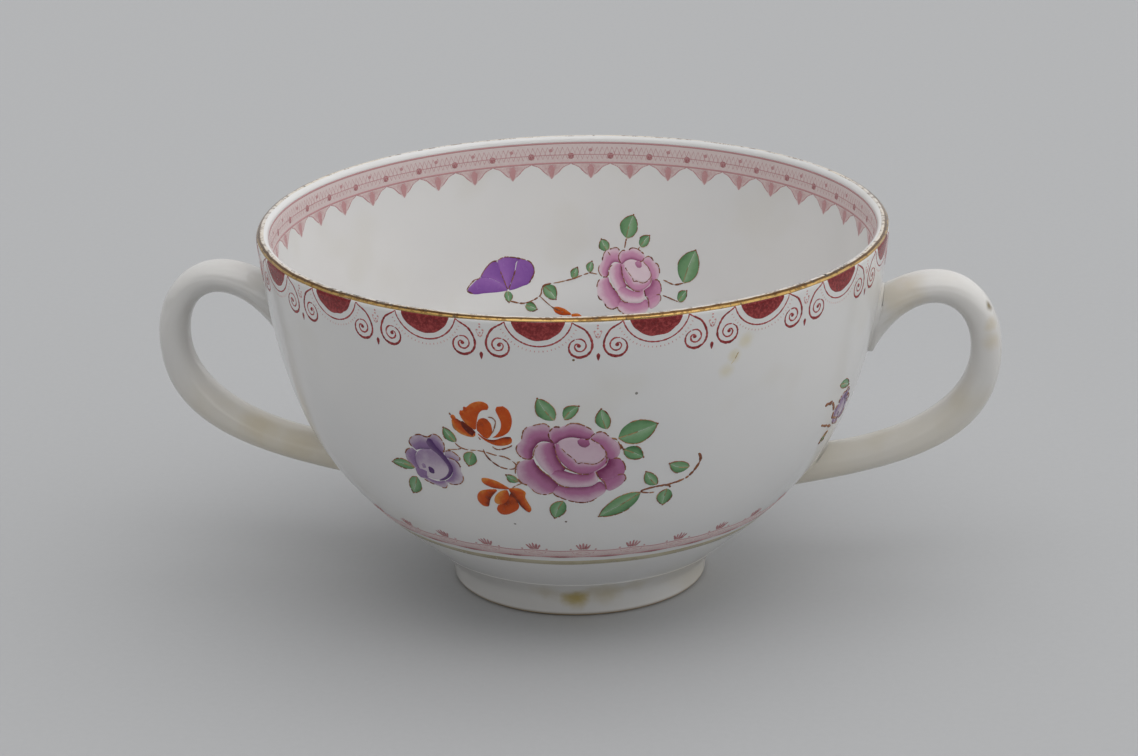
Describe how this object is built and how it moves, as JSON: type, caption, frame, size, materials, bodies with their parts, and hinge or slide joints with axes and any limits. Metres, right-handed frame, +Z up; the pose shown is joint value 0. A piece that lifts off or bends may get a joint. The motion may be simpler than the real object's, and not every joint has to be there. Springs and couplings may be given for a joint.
{
  "type": "two-handled broth cup",
  "caption": "Round two-handled porcelain broth cup on a foot ring, with gilt rim, printed borders and painted flower sprays.",
  "frame": {"origin": "on the table under the middle of the foot ring", "axes": "+X through the right-hand handle, +Z up out of the cup, -Y towards the side with the large painted spray"},
  "size_m": [0.133, 0.098, 0.0586],
  "materials": {
    "porcelain": "clear glossy glaze over a greyish white body, with a few specks and ivory edges",
    "gilding": "thin fired gilding on the rim, worn and speckled",
    "enamel": "overglaze enamel colours in thin raised strokes",
    "border_print": "crimson printed border lines fired on the glaze"
  },
  "bodies": {
    "root": {"bowl": "porcelain", "foot_ring": "porcelain", "handle_right": "porcelain", "handle_left": "porcelain"}
  },
  "joints": []
}
